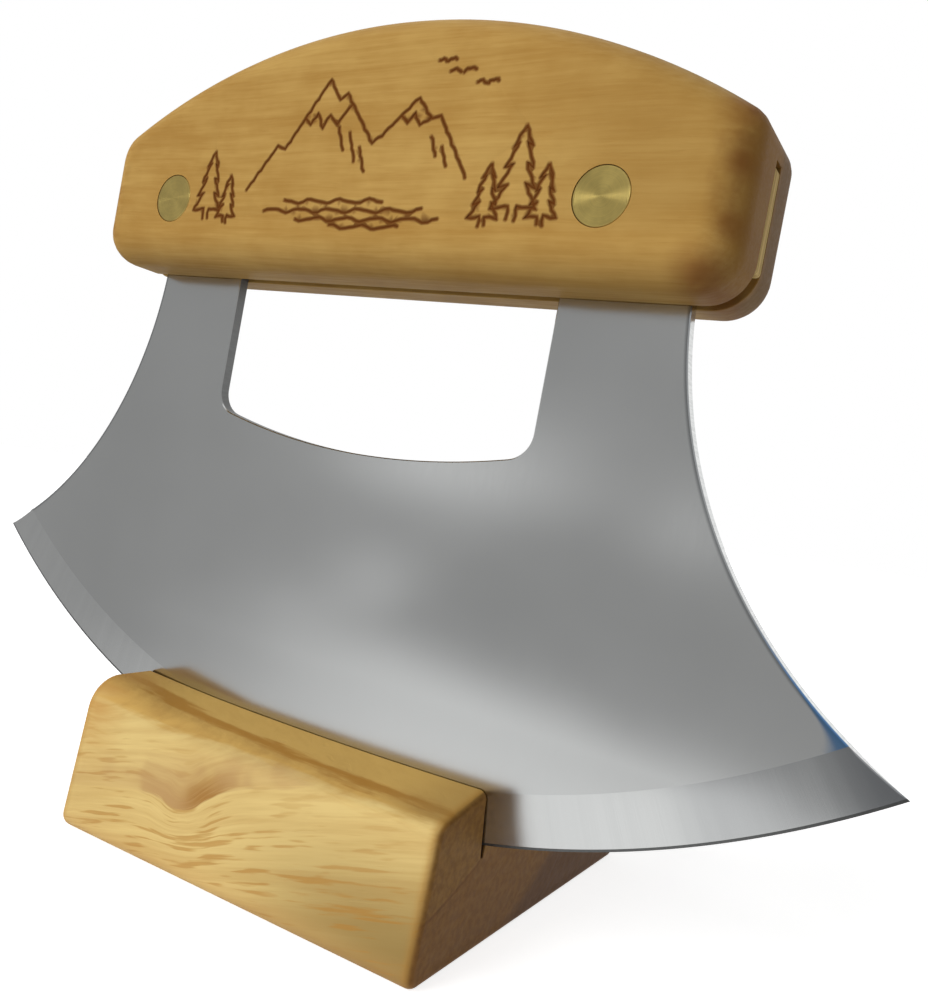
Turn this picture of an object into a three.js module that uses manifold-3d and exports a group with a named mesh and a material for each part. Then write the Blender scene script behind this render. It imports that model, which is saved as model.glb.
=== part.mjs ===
// An ulu knife standing in its wooden display stand, in millimetres with +Z up.
// The origin lies on the stand's base, under the middle of the slot.
// +X runs along the slot and -Y is the front.
import * as THREE from 'three';
import { mergeVertices } from 'three/addons/utils/BufferGeometryUtils.js';
import Module from 'manifold-3d';

const wasm = await Module();
wasm.setup();

// Stand
const standLength = 71;
const standDepth = 71;             // at the base, from front to back
const standHeight = 24;
const standFaceLean = 3.4;         // how far the front and back faces lean in over the height
const standEndRound = 2;           // round-over along the edges of both end faces
const standTopEase = 1.2;          // corner radius left on the end faces, at the top
const standBaseEase = 0.2;         // corner radius left on the end faces, at the base
const slotSetback = 15.8;          // from the front of the base to the middle of the slot
const slotDepth = 11.5;            // at the middle of the stand
const slotFloorRadius = 425;       // the slot's floor is a shallow arc
const slotClearance = 0.5;         // between the blade and each wall of the slot

// How the knife stands in the slot
const knifeLean = THREE.MathUtils.degToRad(2.8);   // rocked towards +X
const knifeOffset = 7.65;          // from the stand's middle to the centre of the edge's arc
const seatClearance = 0.3;         // between the cutting edge and the slot's floor

// Blade: heights count from the lowest point of the cutting edge
const bladeSpan = 170;             // tip to tip
const bladeThickness = 2;
const edgeRadius = 142.9;
const edgeThickness = 0.2;
const bevelWidth = 7.5;            // ground band along the edge, on both faces
const sideRadius = 63.7;           // hollow sides from the tips up to the handle
const windowWidth = 62;
const windowFloorRadius = 127;
const windowCornerRadius = 4.2;
const fingerGap = 26.3;            // from the window's floor to the handle, at the middle
const tangWidth = 19.1;
const tangCornerRadius = 2;

// Handle
const handleBase = 81.2;           // height of its underside above the edge
const handleOverhang = 7.3;        // wood past the outer side of each tang
const handleEndHeight = 21.6;       // up to the shoulders, where the crowned top begins
const handleTopRadius = 106.8;
const handleThickness = 22.2;
const handleRound = 5.2;           // round-over along the edges of both faces
const handleFaceCorner = 0.4;      // lower corner radius left on the flat faces
const kerfRoof = 3;                // wood above the kerf, at the handle's ends
const kerfClearance = 0.15;        // between the tangs and each wall of the kerf
const kerfHeadroom = 0.8;          // above the tangs

// Strips that close the ends of the kerf
const stripVoid = 2.3;             // open kerf above the strip
const stripRecess = 0.4;           // behind the handle's end face
const stripGap = 0.3;              // to the tang
const stripClearance = 0.1;        // to each wall of the kerf

// Two-part rivets: a pin from the front, pressed into a tube from the back
const rivetInset = 8.4;            // from the tang's inner side
const rivetDrop = 7.2;             // below the top of the tang
const rivetHeadDiameter = 7.9;
const rivetHeadThickness = 2;
const rivetHeadChamfer = 0.2;
const rivetTubeDiameter = 5;
const rivetPinDiameter = 3.2;
const rivetTubeGap = 1.5;          // from the tube's mouth to the front head
const rivetPinGap = 2.5;           // from the pin's tip to the back head
const rivetClearance = 0.1;        // of a pin, tube or head in its hole

// Fineness of the round shapes
const arcSegments = 8;
const roundSegments = 5;
const rivetSegments = 40;
const edgeSegments = 240;
const overrun = 3;                 // how far a cutter reaches past what it cuts

// Worked out from the sizes above
const slotFloor = standHeight - slotDepth;
const slotWidth = bladeThickness + 2 * slotClearance;
const tipX = bladeSpan / 2;
const tipHeight = edgeRadius - Math.sqrt(edgeRadius ** 2 - tipX ** 2);
const windowX = windowWidth / 2;
const tangOuterX = windowX + tangWidth;
const handleEndX = tangOuterX + handleOverhang;
const handleShoulder = handleBase + handleEndHeight;
const handleCorner = handleRound + handleFaceCorner;
const kerfWidth = bladeThickness + 2 * kerfClearance;
const kerfTop = handleShoulder - kerfRoof;
const tangTop = kerfTop - kerfHeadroom;
const rivetX = windowX + rivetInset;
const rivetHeight = tangTop - rivetDrop;
const handleFront = -handleThickness / 2;
const handleBack = handleThickness / 2;

// A solid from a closed geometry: corners are shared, and flat triangles at a lathe's axis go.
function solid(geometry) {
  geometry.deleteAttribute('normal');
  geometry.deleteAttribute('uv');
  const merged = mergeVertices(geometry);
  const corners = merged.index.array;
  const triVerts = [];
  for (let i = 0; i < corners.length; i += 3) {
    const [a, b, c] = corners.slice(i, i + 3);
    if (a !== b && b !== c && c !== a) triVerts.push(a, b, c);
  }
  return new wasm.Manifold(new wasm.Mesh({
    numProp: 3,
    vertProperties: merged.attributes.position.array,
    triVerts: new Uint32Array(triVerts),
  }));
}

function piece(name, body, look) {
  const { vertProperties, triVerts } = body.getMesh();
  const geometry = new THREE.BufferGeometry();
  geometry.setAttribute('position', new THREE.BufferAttribute(vertProperties, 3));
  geometry.setIndex(new THREE.BufferAttribute(triVerts, 1));
  geometry.computeVertexNormals();
  const mesh = new THREE.Mesh(geometry, new THREE.MeshStandardMaterial(look));
  mesh.name = name;
  return mesh;
}

// A plate with an outline in the XZ plane, centred on y = 0, with its edges rounded over.
function plate(outline, thickness, round = 0) {
  const geometry = new THREE.ExtrudeGeometry(outline, {
    depth: thickness - 2 * round,
    curveSegments: arcSegments,
    bevelEnabled: round > 0,
    bevelThickness: round,
    bevelSize: round,
    bevelOffset: -round,
    bevelSegments: roundSegments,
  });
  geometry.translate(0, 0, round - thickness / 2);
  geometry.rotateX(Math.PI / 2);
  return solid(geometry);
}

// A round bar along Y from one depth to another.
function bar(diameter, x, z, fromY, toY) {
  const radius = diameter / 2;
  const geometry = new THREE.CylinderGeometry(radius, radius, toY - fromY, rivetSegments);
  geometry.translate(x, (fromY + toY) / 2, z);
  return solid(geometry);
}

// A block between two heights, centred on x and on y = 0.
function block(x, length, thickness, fromZ, toZ) {
  const geometry = new THREE.BoxGeometry(length, thickness, toZ - fromZ);
  geometry.translate(x, 0, (fromZ + toZ) / 2);
  return solid(geometry);
}

// Blade: a plate with hollow sides, two tangs and a window, whose lower rim is ground to the edge.
// The outline is cut past the edge's arc, because the ground disc gives the edge itself.
function bladeOutline() {
  const chordX = tangOuterX - tipX;
  const chordZ = handleBase - tipHeight;
  const halfChord = Math.hypot(chordX, chordZ) / 2;
  const offset = Math.sqrt(sideRadius ** 2 - halfChord ** 2) / (2 * halfChord);
  const sideX = (tipX + tangOuterX) / 2 + offset * chordZ;
  const sideZ = (tipHeight + handleBase) / 2 - offset * chordX;
  const sideTop = Math.atan2(handleBase - sideZ, tangOuterX - sideX);
  const tipAngle = Math.atan2(tipHeight - sideZ, tipX - sideX) + overrun / sideRadius;
  const lowX = sideX + sideRadius * Math.cos(tipAngle);

  const floorCentre = handleBase - fingerGap + windowFloorRadius;
  const filletX = windowX - windowCornerRadius;
  const filletRun = windowFloorRadius - windowCornerRadius;
  const filletZ = floorCentre - Math.sqrt(filletRun ** 2 - filletX ** 2);
  const filletAngle = Math.atan2(filletZ - floorCentre, filletX);
  const cornerZ = tangTop - tangCornerRadius;
  const innerX = windowX + tangCornerRadius;
  const outerX = tangOuterX - tangCornerRadius;
  const quarter = Math.PI / 2;

  const outline = new THREE.Shape();
  outline.moveTo(-lowX, -overrun);
  outline.lineTo(lowX, -overrun);
  outline.absarc(sideX, sideZ, sideRadius, tipAngle, sideTop, true);
  outline.absarc(outerX, cornerZ, tangCornerRadius, 0, quarter, false);
  outline.absarc(innerX, cornerZ, tangCornerRadius, quarter, 2 * quarter, false);
  outline.absarc(filletX, filletZ, windowCornerRadius, 0, filletAngle, true);
  outline.absarc(0, floorCentre, windowFloorRadius, filletAngle, -Math.PI - filletAngle, true);
  outline.absarc(-filletX, filletZ, windowCornerRadius, -Math.PI - filletAngle, -Math.PI, true);
  outline.absarc(-innerX, cornerZ, tangCornerRadius, 0, quarter, false);
  outline.absarc(-outerX, cornerZ, tangCornerRadius, quarter, 2 * quarter, false);
  outline.absarc(-sideX, sideZ, sideRadius, Math.PI - sideTop, Math.PI - tipAngle, true);
  for (const side of [-1, 1]) {
    const hole = new THREE.Path();
    hole.absarc(side * rivetX, rivetHeight, rivetTubeDiameter / 2 + rivetClearance, 0, 4 * quarter, true);
    outline.holes.push(hole);
  }
  return outline;
}

function groundDisc() {
  const half = bladeThickness / 2;
  const geometry = new THREE.LatheGeometry([
    new THREE.Vector2(0, -half),
    new THREE.Vector2(edgeRadius - bevelWidth, -half),
    new THREE.Vector2(edgeRadius, -edgeThickness / 2),
    new THREE.Vector2(edgeRadius, edgeThickness / 2),
    new THREE.Vector2(edgeRadius - bevelWidth, half),
    new THREE.Vector2(0, half),
  ], edgeSegments);
  geometry.translate(0, 0, edgeRadius);
  return solid(geometry);
}

// The plate is cut thicker than the disc, so that the disc alone gives both faces.
function blade() {
  return plate(bladeOutline(), bladeThickness + overrun).intersect(groundDisc());
}

// Handle: one piece of wood with a crowned top, a kerf from below and counterbored rivet holes.
// Its lower corners are round, and the crown meets the ends at the shoulders.
function handleOutline() {
  const crownCentre = handleShoulder - Math.sqrt(handleTopRadius ** 2 - handleEndX ** 2);
  const shoulderAngle = Math.atan2(handleShoulder - crownCentre, handleEndX);
  const cornerX = handleEndX - handleCorner;
  const cornerZ = handleBase + handleCorner;
  const outline = new THREE.Shape();
  outline.absarc(cornerX, cornerZ, handleCorner, -Math.PI / 2, 0, false);
  outline.absarc(0, crownCentre, handleTopRadius, shoulderAngle, Math.PI - shoulderAngle, false);
  outline.absarc(-cornerX, cornerZ, handleCorner, Math.PI, Math.PI * 1.5, false);
  return outline;
}

function handle() {
  const reach = handleBack + overrun;
  const headHole = rivetHeadDiameter + 2 * rivetClearance;
  const seat = handleBack - rivetHeadThickness - rivetClearance;
  const tubeHole = rivetTubeDiameter + 2 * rivetClearance;
  const kerfLength = 2 * (handleEndX + overrun);
  let body = plate(handleOutline(), handleThickness, handleRound);
  body = body.subtract(block(0, kerfLength, kerfWidth, handleBase - overrun, kerfTop));
  for (const x of [-rivetX, rivetX]) {
    body = body.subtract(bar(tubeHole, x, rivetHeight, -reach, reach));
    body = body.subtract(bar(headHole, x, rivetHeight, -reach, -seat));
    body = body.subtract(bar(headHole, x, rivetHeight, seat, reach));
  }
  return body;
}

function kerfStrip(side) {
  const inner = tangOuterX + stripGap;
  const outer = handleEndX - stripRecess;
  const thickness = kerfWidth - 2 * stripClearance;
  const x = side * (inner + outer) / 2;
  return block(x, outer - inner, thickness, handleBase + handleCorner, kerfTop - stripVoid);
}

// Rivets: both profiles run along Y, from the front face of the handle to the back face.
function turned(profile, x) {
  const points = profile.map(([radius, y]) => new THREE.Vector2(radius, y));
  const geometry = new THREE.LatheGeometry(points, rivetSegments);
  geometry.translate(x, 0, rivetHeight);
  return solid(geometry);
}

function rivetPin(x) {
  const head = rivetHeadDiameter / 2;
  const under = handleFront + rivetHeadThickness;
  const pin = rivetPinDiameter / 2;
  const tip = handleBack - rivetHeadThickness - rivetPinGap;
  return turned([
    [0, handleFront],
    [head - rivetHeadChamfer, handleFront],
    [head, handleFront + rivetHeadChamfer],
    [head, under],
    [pin, under],
    [pin, tip],
    [0, tip],
  ], x);
}

function rivetTube(x) {
  const head = rivetHeadDiameter / 2;
  const under = handleBack - rivetHeadThickness;
  const tube = rivetTubeDiameter / 2;
  const mouth = handleFront + rivetHeadThickness + rivetTubeGap;
  const bore = rivetPinDiameter / 2 + rivetClearance;
  return turned([
    [0, under],
    [bore, under],
    [bore, mouth],
    [tube, mouth],
    [tube, under],
    [head, under],
    [head, handleBack - rivetHeadChamfer],
    [head - rivetHeadChamfer, handleBack],
    [0, handleBack],
  ], x);
}

// Stand: a block of wood with sloped faces, rounded ends and a slot near its front.
// Each corner of the section is given with the radius that rounds it.
function standSection() {
  const frontY = -slotSetback;
  const backY = standDepth - slotSetback;
  const baseRadius = standEndRound + standBaseEase;
  const topRadius = standEndRound + standTopEase;
  const corners = [
    [new THREE.Vector2(frontY, 0), baseRadius],
    [new THREE.Vector2(backY, 0), baseRadius],
    [new THREE.Vector2(backY - standFaceLean, standHeight), topRadius],
    [new THREE.Vector2(frontY + standFaceLean, standHeight), topRadius],
  ];
  const section = new THREE.Shape();
  corners.forEach(([corner, radius], i) => {
    const before = corners.at(i - 1)[0].clone().sub(corner).normalize();
    const after = corners[(i + 1) % corners.length][0].clone().sub(corner).normalize();
    const halfAngle = Math.acos(before.dot(after)) / 2;
    const inward = before.clone().add(after).normalize();
    const centre = corner.clone().addScaledVector(inward, radius / Math.sin(halfAngle));
    const start = Math.atan2(-before.x, before.y);
    const turn = Math.PI - 2 * halfAngle;
    section.absarc(centre.x, centre.y, radius, start + Math.PI, start + Math.PI + turn, false);
  });
  return section;
}

function stand() {
  const geometry = new THREE.ExtrudeGeometry(standSection(), {
    depth: standLength - 2 * standEndRound,
    curveSegments: arcSegments,
    bevelThickness: standEndRound,
    bevelSize: standEndRound,
    bevelOffset: -standEndRound,
    bevelSegments: roundSegments,
  });
  geometry.translate(0, 0, standEndRound - standLength / 2);
  geometry.rotateX(Math.PI / 2);
  geometry.rotateZ(Math.PI / 2);

  const reach = Math.asin((standLength / 2 + overrun) / slotFloorRadius);
  const down = -Math.PI / 2;
  const slot = new THREE.Shape();
  slot.absarc(0, slotFloor + slotFloorRadius, slotFloorRadius, down - reach, down + reach, false);
  slot.lineTo(standLength / 2 + overrun, standHeight + overrun);
  slot.lineTo(-standLength / 2 - overrun, standHeight + overrun);
  return solid(geometry).subtract(plate(slot, slotWidth));
}

// Finishes
const handleWood = { color: 0xc49a5c, roughness: 0.55, metalness: 0 };
const standWood = { color: 0xd2a862, roughness: 0.6, metalness: 0 };
const stripWood = { color: 0xd9c183, roughness: 0.7, metalness: 0 };
const steel = { color: 0x9a9a9a, roughness: 0.32, metalness: 1 };
const brass = { color: 0xb9ac7c, roughness: 0.3, metalness: 1 };

// The knife turns about the centre of its edge's arc, so leaning keeps the edge on the slot's floor.
const arcRun = slotFloorRadius - edgeRadius - seatClearance;
const knifeCentreZ = slotFloor + slotFloorRadius - Math.sqrt(arcRun ** 2 - knifeOffset ** 2);
const knife = new THREE.Group();
knife.position.z = -edgeRadius;
knife.add(piece('blade', blade(), steel));
knife.add(piece('handle', handle(), handleWood));
for (const [side, sign] of [['left', -1], ['right', 1]]) {
  knife.add(piece(`${side}_kerf_strip`, kerfStrip(sign), stripWood));
  knife.add(piece(`${side}_rivet_pin`, rivetPin(sign * rivetX), brass));
  knife.add(piece(`${side}_rivet_tube`, rivetTube(sign * rivetX), brass));
}

const lean = new THREE.Group();
lean.position.set(knifeOffset, 0, knifeCentreZ);
lean.rotation.y = knifeLean;
lean.add(knife);

const ulu = new THREE.Group();
ulu.add(piece('stand', stand(), standWood));
ulu.add(lean);

export default ulu;
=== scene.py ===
"""Looks of an ulu knife and its wooden stand, built around the packed solids.

Lengths are in metres. The knife's pieces are drawn in the knife's own axes, which lean in the stand:
the origin lies midway between the rivets, X runs along the handle, Y from the front face to the back.
"""

import math
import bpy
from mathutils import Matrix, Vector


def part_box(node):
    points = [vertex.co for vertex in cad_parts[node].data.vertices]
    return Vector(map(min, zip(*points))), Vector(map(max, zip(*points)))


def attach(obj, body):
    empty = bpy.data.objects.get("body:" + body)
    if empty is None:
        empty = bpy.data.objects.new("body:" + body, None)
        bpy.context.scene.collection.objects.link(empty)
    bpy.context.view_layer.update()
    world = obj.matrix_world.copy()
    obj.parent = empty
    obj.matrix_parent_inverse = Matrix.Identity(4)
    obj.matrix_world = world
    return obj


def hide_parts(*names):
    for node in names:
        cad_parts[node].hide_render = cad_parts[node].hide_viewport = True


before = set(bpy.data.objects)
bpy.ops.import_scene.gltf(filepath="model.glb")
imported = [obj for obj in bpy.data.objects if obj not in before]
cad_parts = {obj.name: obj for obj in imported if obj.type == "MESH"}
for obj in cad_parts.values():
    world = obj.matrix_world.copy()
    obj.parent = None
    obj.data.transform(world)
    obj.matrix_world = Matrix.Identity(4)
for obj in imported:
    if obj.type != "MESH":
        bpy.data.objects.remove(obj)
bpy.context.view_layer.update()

from types import SimpleNamespace

import bmesh
import bpy
import numpy as np
from bpy.props import FloatProperty, FloatVectorProperty, IntProperty, PointerProperty
from mathutils import Euler, Matrix, Vector
from mathutils.geometry import delaunay_2d_cdt

bl_info = {
    "name": "Ulu knife in its stand",
    "version": (1, 0, 0),
    "blender": (4, 5, 0),
    "location": "View3D > Sidebar > Ulu knife",
    "description": "Dresses the blade, handle, rivets and stand of an ulu knife",
    "category": "Object",
}

MM = 0.001
QUARTER = math.pi / 2
SAME_PLACE = 1e-7
STAND_BODY = "stand"
KNIFE_BODY = "knife"
SIDES = {"left": -1, "right": 1}


# Measures of the packed solids

def rivet_middle(side):
    low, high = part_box(f"{side}_rivet_pin")
    return (low + high) / 2


def knife_axes():
    """Matrix from the knife's own axes to the row frame."""
    left = rivet_middle("left")
    right = rivet_middle("right")
    along = (right - left).normalized()
    across = Vector((0, 1, 0))
    axes = Matrix((along, across, along.cross(across))).transposed().to_4x4()
    axes.translation = (left + right) / 2 * Vector((1, 0, 1))
    return axes


KNIFE = knife_axes()
TO_KNIFE = KNIFE.inverted()


def knife_box(node):
    """Lowest and highest corner of a solid in the knife's own axes."""
    corners = np.array([TO_KNIFE @ v.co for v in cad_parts[node].data.vertices])
    return Vector(corners.min(0)), Vector(corners.max(0))


STAND_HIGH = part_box("stand")[1]
BLADE_LOW, BLADE_HIGH = knife_box("blade")
HANDLE_LOW, HANDLE_HIGH = knife_box("handle")
PIN_LOW, PIN_HIGH = knife_box("right_rivet_pin")
TUBE_LOW, TUBE_HIGH = knife_box("right_rivet_tube")
PIN_MIDDLE_X = (PIN_LOW.x + PIN_HIGH.x) / 2
HEAD_RADIUS = (PIN_HIGH.x - PIN_LOW.x) / 2
STAND_END = STAND_HIGH.x
HANDLE_END = HANDLE_HIGH.x


# Sizes, finishes and stage that a user may change

def distance(name, description, default):
    return FloatProperty(name=name, description=description, default=default,
                         subtype="DISTANCE", unit="LENGTH", precision=5)


def tint(name, description, default):
    return FloatVectorProperty(name=name, description=description, default=default,
                               subtype="COLOR", size=3, min=0, max=1)


def amount(name, description, default):
    return FloatProperty(name=name, description=description, default=default)


def rotation(name, description, degrees):
    return FloatVectorProperty(name=name, description=description, default=[math.radians(a) for a in degrees],
                               subtype="EULER", unit="ROTATION")


class StandSizes(bpy.types.PropertyGroup):
    """Sizes of the wooden stand"""
    depth: distance("Depth", "Depth of the base from front to back", 70.5 * MM)
    setback: distance("Slot setback", "From the front of the base to the middle of the slot", 15.3 * MM)
    lean: distance("Face lean", "How far the front and back lean in over the height", 2.9 * MM)
    height: distance("Height", "Height of the lips of the slot, halfway between their two ends",
                     STAND_HIGH.z + 0.4 * MM)
    tilt: distance("Top tilt", "How much higher the left end of the top is than the right", 1.4 * MM)
    sag: distance("Top sag", "How far the top dips between its ends", 0.65 * MM)
    fall: distance("Top fall", "How far the top falls from the slot to the front edge", 3.4 * MM)
    end_round: distance("End round-over", "Radius along the edges of both end faces", 1.2 * MM)
    left_round: distance("Left round-over", "Radius of the front upper edge at the left end", 5.6 * MM)
    right_round: distance("Right round-over", "The same at the right end, and all along the back", 2 * MM)
    base_round: distance("Base round-over", "Radius of the long lower edges", 2.4 * MM)
    slot_front: distance("Slot front", "From the blade's middle to the front wall of the slot", 1.09 * MM)
    slot_back: distance("Slot back", "From the blade's middle to the back wall of the slot", 1.5 * MM)
    slot_depth: distance("Slot depth", "Depth of the slot at the middle of the stand", 11.9 * MM)
    slot_radius: distance("Slot floor radius", "Radius of the shallow arc of the slot's floor", 425 * MM)
    slot_taper: distance("Slot taper", "Height over which the slot narrows towards its floor", 8 * MM)
    slot_foot: distance("Slot foot", "From the blade's middle to each wall, at the slot's floor", 0.35 * MM)
    slot_ease: distance("Slot ease", "Sanded corner along the mouth of the slot", 0.15 * MM)


class BladeSizes(bpy.types.PropertyGroup):
    """Sizes of the steel blade"""
    edge_radius: distance("Edge radius", "Radius of the cutting edge", 142.9 * MM)
    ground_width: distance("Ground band", "Width of the ground band along the edge", 7.5 * MM)
    honed_width: distance("Honed band", "Width of the narrow honed band at the very edge", 0.38 * MM)
    honed_thickness: distance("Honed thickness", "Steel left where the honed band begins", 0.3 * MM)
    edge_thickness: distance("Edge thickness", "Steel left at the cutting edge", 0.06 * MM)
    side_radius: distance("Side radius", "Radius of the hollow sides above the tips", 63.7 * MM)
    window_width: distance("Window width", "Width of the finger window", 62 * MM)
    window_radius: distance("Window floor radius", "Radius of the window's floor", 127 * MM)
    window_corner: distance("Window corner", "Radius of the window's lower corners", 4.2 * MM)
    finger_gap: distance("Finger gap", "Height of the window at its middle", 26.3 * MM)
    tang_width: distance("Tang width", "Width of each tang", 19.1 * MM)
    tang_corner: distance("Tang corner", "Radius of the upper corners of the tangs", 2 * MM)
    rim_ease: distance("Rim ease", "Broken corner along the cut edges of the sheet", 0.16 * MM)


class HandleSizes(bpy.types.PropertyGroup):
    """Sizes of the wooden handle and of the strips in its kerf"""
    end_height: distance("End height", "Height of the handle's ends up to the shoulders", 21.6 * MM)
    top_radius: distance("Crown radius", "Radius of the crowned top", 106.8 * MM)
    round_over: distance("Round-over", "Radius along the edges of both faces", 5.2 * MM)
    lower_corner: distance("Lower corner", "Radius of the lower corners", 5.6 * MM)
    shoulder_corner: distance("Shoulder corner", "Radius where the crown meets the ends", 3.6 * MM)
    shoulder_sanding: amount("Shoulder sanding", "How fast that radius grows towards the faces", 0.6)
    kerf_width: distance("Kerf width", "Width of the saw kerf that takes the tangs", 2.3 * MM)
    kerf_roof: distance("Kerf roof", "Wood above the kerf at the handle's ends", 3 * MM)
    kerf_ease: distance("Kerf ease", "Sanded corner along the mouth of the kerf", 0.1 * MM)
    hole_gap: distance("Hole gap", "Gap round each rivet head and shank", 0.07 * MM)
    strip_ease: distance("Strip ease", "Broken corner along the edges of the strips", 0.05 * MM)
    strip_corner: distance("Strip corner", "Radius of the outer corners of the strips", 0.6 * MM)
    strip_drop: distance("Strip drop", "How far the strips reach below the solid ones", 1.2 * MM)
    strip_rise: distance("Strip rise", "How far the strips reach above the solid ones", 1.7 * MM)


class BurnedLines(bpy.types.PropertyGroup):
    """Sizes of the burned line drawing on the front face"""
    width: distance("Line width", "Width of a burned line", 0.42 * MM)
    depth: distance("Line depth", "Depth of a burned line", 0.12 * MM)
    scorch: distance("Scorch", "Width of the browned wood beside a line", 0.25 * MM)
    wobble: distance("Wobble", "How far the hand strays from the drawn line", 0.1 * MM)


class RivetSizes(bpy.types.PropertyGroup):
    """Sizes of the two-part rivets"""
    head_thickness: distance("Head thickness", "Thickness of a rivet head", 2 * MM)
    head_chamfer: distance("Head chamfer", "Broken corner round a rivet head", 0.2 * MM)
    head_crown: distance("Head crown", "How far the middle of a head lies below its rim", 0.04 * MM)
    pin_diameter: distance("Pin diameter", "Diameter of the pin's shank", 3.2 * MM)
    pin_gap: distance("Pin gap", "Gap between the pin and the bore of the tube", 0.1 * MM)
    tube_diameter: distance("Tube diameter", "Outer diameter of the tube's shank", 5 * MM)
    segments: IntProperty(name="Segments", description="Steps round a rivet", default=72, min=12)


class Finishes(bpy.types.PropertyGroup):
    """Colours of the wood and metal"""
    handle_light: tint("Handle light", "Pale wood between the handle's grain lines", (0.5, 0.31, 0.088))
    handle_dark: tint("Handle dark", "Grain lines of the handle", (0.37, 0.2, 0.044))
    # Painted shade: the handle wood is drawn darker towards the lower right, where the key light falls off
    handle_painted_shade: tint("Handle dull", "Duller wood at the right of the handle", (0.29, 0.165, 0.04))
    handle_end: tint("Handle end grain", "End grain of the handle", (0.28, 0.13, 0.02))
    # Painted shade on the end grain behind the kerf
    handle_end_painted_shade: tint("Handle end, back", "End grain behind the kerf", (0.1, 0.05, 0.01))
    router_brown: tint("Router brown", "Wood that the router has browned at the ends", (0.175, 0.06, 0.009))
    scorched: tint("Scorched wood", "Wood that the hot pen has browned", (0.115, 0.032, 0.004))
    stand_light: tint("Stand light", "Pale wood of the stand", (0.7, 0.52, 0.205))
    stand_tan: tint("Stand tan", "Darker streaks of the stand", (0.5, 0.31, 0.1))
    # Partly a greyer tone of the wood and partly painted shade, where the key light falls off towards the
    # lower right
    stand_shade: tint("Stand shade", "Greyer wood at the lower right of the front", (0.29, 0.19, 0.06))
    stand_heart: tint("Stand heart", "Brown heartwood of the stand", (0.4, 0.19, 0.032))
    stand_end: tint("Stand end grain", "End grain of the stand", (0.285, 0.133, 0.028))
    knot_swirl: tint("Knot swirl", "Wood that swirls round the knot", (0.46, 0.275, 0.11))
    knot_flame: tint("Knot flame", "Brown flame at the middle of the knot", (0.34, 0.165, 0.038))
    top_brown: tint("Top brown", "Darker streaks on top of the stand", (0.49, 0.285, 0.074))
    top_tan: tint("Top tan", "Paler streaks on top of the stand", (0.61, 0.37, 0.098))
    top_gold: tint("Top gold", "Golden wood beside the slot", (0.61, 0.395, 0.115))
    # Darker towards the right end of the top
    top_right_dark: tint("Top dull", "Duller wood at the right of the top", (0.33, 0.2, 0.06))
    left_brown: tint("Left brown", "Browned wood at the left end of the front", (0.52, 0.28, 0.075))
    base_brown: tint("Base brown", "Browned wood along the base", (0.5, 0.27, 0.09))
    inner_ring: tint("Inner rings", "End grain of the upper rings", (0.19, 0.075, 0.022))
    outer_ring: tint("Outer rings", "End grain of the lowest rings", (0.1, 0.04, 0.014))
    # Painted shade: the slot's walls are drawn dark where shade falls inside the slot
    slot_painted_shade: tint("Slot wood", "Dark wood inside the slot", (0.08, 0.04, 0.015))
    strip_pale: tint("Strip wood", "Raw wood of the kerf strips", (0.85, 0.62, 0.24))
    steel: tint("Steel", "Satin steel of the blade", (0.59, 0.6, 0.595))
    side_dark: tint("Side steel", "Darker steel along the hollow sides", (0.1, 0.11, 0.12))
    # Painted reflection: the ground band is drawn darker towards the right tip, where it mirrors something
    # dark
    painted_tip_reflection: tint("Tip steel", "Darker steel towards the right tip", (0.2, 0.21, 0.225))
    # A blue tint along the end of the ground band above the right tip
    tip_blue: tint("Temper blue", "Heat tint where the grinder stopped", (0.06, 0.2, 0.42))
    brass: tint("Rivet metal", "Turned metal of the rivets", (0.775, 0.59, 0.187))


class Stage(bpy.types.PropertyGroup):
    """Camera and light"""
    lens: FloatProperty(name="Lens", description="Focal length for a 36 mm frame", default=32.666,
                        subtype="DISTANCE_CAMERA")
    camera_place: FloatVectorProperty(name="Camera place", description="Where the camera stands",
                                      default=(0.09293, -0.11361, 0.06267),
                                      subtype="TRANSLATION", unit="LENGTH")
    camera_turn: rotation("Camera turn", "How the camera is turned", (90.153, -8.135, 31.08))
    key_strength: amount("Key strength", "Soft light from the front left", 2.9)
    key_turn: rotation("Key turn", "How the key light is turned", (66, 0, -32))
    key_spread: FloatProperty(name="Key spread", description="Angle that the key light spans",
                              default=math.radians(50), subtype="ANGLE", unit="ROTATION")
    room_level: amount("Room level", "Light from all round", 0.22)
    table_level: amount("Table level", "Share of light that the table throws back", 0.8)
    table_glow: amount("Table glow", "White that the table shows by itself", 0.78)
    card_level: amount("Card level", "Grey of the cards that the metal mirrors", 0.4)
    lamp_level: amount("Lamp level", "Brightness of the small lamp that the rivets mirror", 9)


SETTINGS = {
    "ulu_stand": StandSizes,
    "ulu_blade": BladeSizes,
    "ulu_handle": HandleSizes,
    "ulu_lines": BurnedLines,
    "ulu_rivets": RivetSizes,
    "ulu_finishes": Finishes,
    "ulu_stage": Stage,
}


# Outlines and shells

def arc(centre, radius, start, end, steps):
    """Points on an arc, with both its ends."""
    turns = np.linspace(start, end, steps + 1)
    return [(centre[0] + radius * math.cos(a), centre[1] + radius * math.sin(a)) for a in turns]


def circle(x, z, radius, steps):
    return arc((x, z), radius, 0, 2 * math.pi, steps)[:-1]


def mirrored(points):
    return [(-x, z) for x, z in reversed(points)]


def joined_steps(points):
    """A run of points without those that repeat the one before."""
    kept = [points[0]]
    for point in points[1:]:
        if math.dist(point, kept[-1]) > SAME_PLACE:
            kept.append(point)
    return kept


def round_steps(count):
    """Angles of a quarter round, close together at the start, where it leaves a flat face."""
    gathering = 1.4
    return [QUARTER * (i / count) ** gathering for i in range(count + 1)]


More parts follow.
